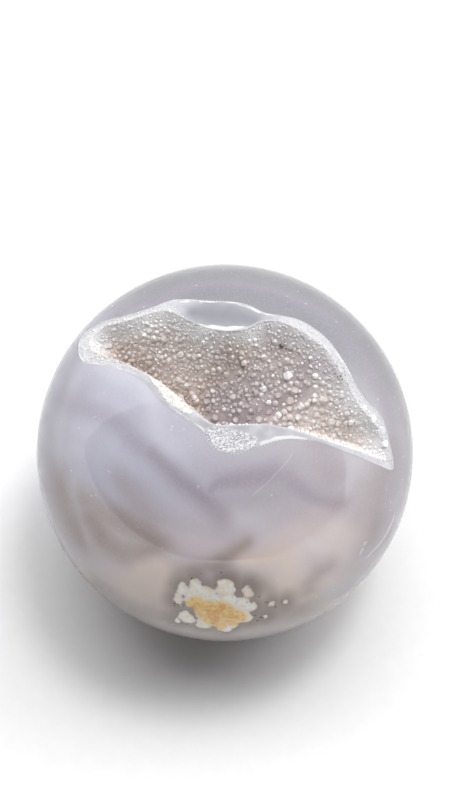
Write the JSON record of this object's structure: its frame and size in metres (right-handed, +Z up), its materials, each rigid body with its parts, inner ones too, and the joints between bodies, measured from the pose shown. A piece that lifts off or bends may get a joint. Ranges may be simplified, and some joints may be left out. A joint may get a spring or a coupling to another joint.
{
  "type": "druzy agate sphere",
  "caption": "Polished agate sphere that rests on its underside, with an open hollow on top lined with a crust of small quartz crystals.",
  "frame": {"origin": "the point the sphere rests on, in the middle of the small flat under it", "axes": "+Z up through the middle of the sphere and out of the hollow, -Y towards the side where the hollow's steep lip has its notch, +X towards the hollow's longer, pointed end"},
  "size_m": [0.065, 0.065, 0.064],
  "materials": {
    "agate": "polished, translucent, banded lilac grey",
    "quartz": "clear to milky crystals with flat shiny faces"
  },
  "bodies": {
    "root": {"agate_sphere": "agate", "druzy_crust": "quartz"}
  },
  "joints": []
}
